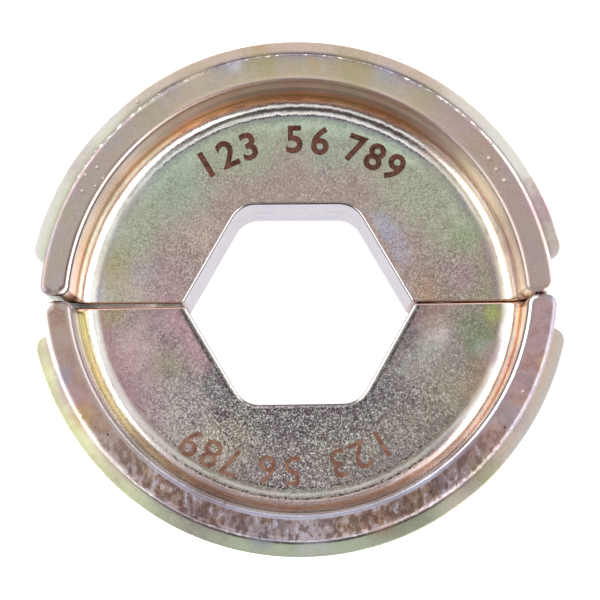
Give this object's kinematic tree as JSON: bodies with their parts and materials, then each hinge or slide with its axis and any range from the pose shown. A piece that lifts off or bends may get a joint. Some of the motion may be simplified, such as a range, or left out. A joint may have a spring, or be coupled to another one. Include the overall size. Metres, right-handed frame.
{
  "type": "crimping die",
  "caption": "Half-round steel die halves with a hexagonal nest between them, for pressing tube lugs onto cable.",
  "frame": {"origin": "centre of the pair's outline, on the surface that its back rims lie on", "axes": "+Z along the crimp axis, out of the front face; +X along the parting plane, towards the end where the halves lie closest; +Y towards the upper half"},
  "size_m": [0.043, 0.042, 0.025],
  "materials": {
    "passivated_steel": "yellow-passivated zinc plate on machined steel, with green, mauve and straw tints"
  },
  "bodies": {
    "root": {"upper_die_half": "passivated_steel", "lower_die_half": "passivated_steel"}
  },
  "joints": []
}
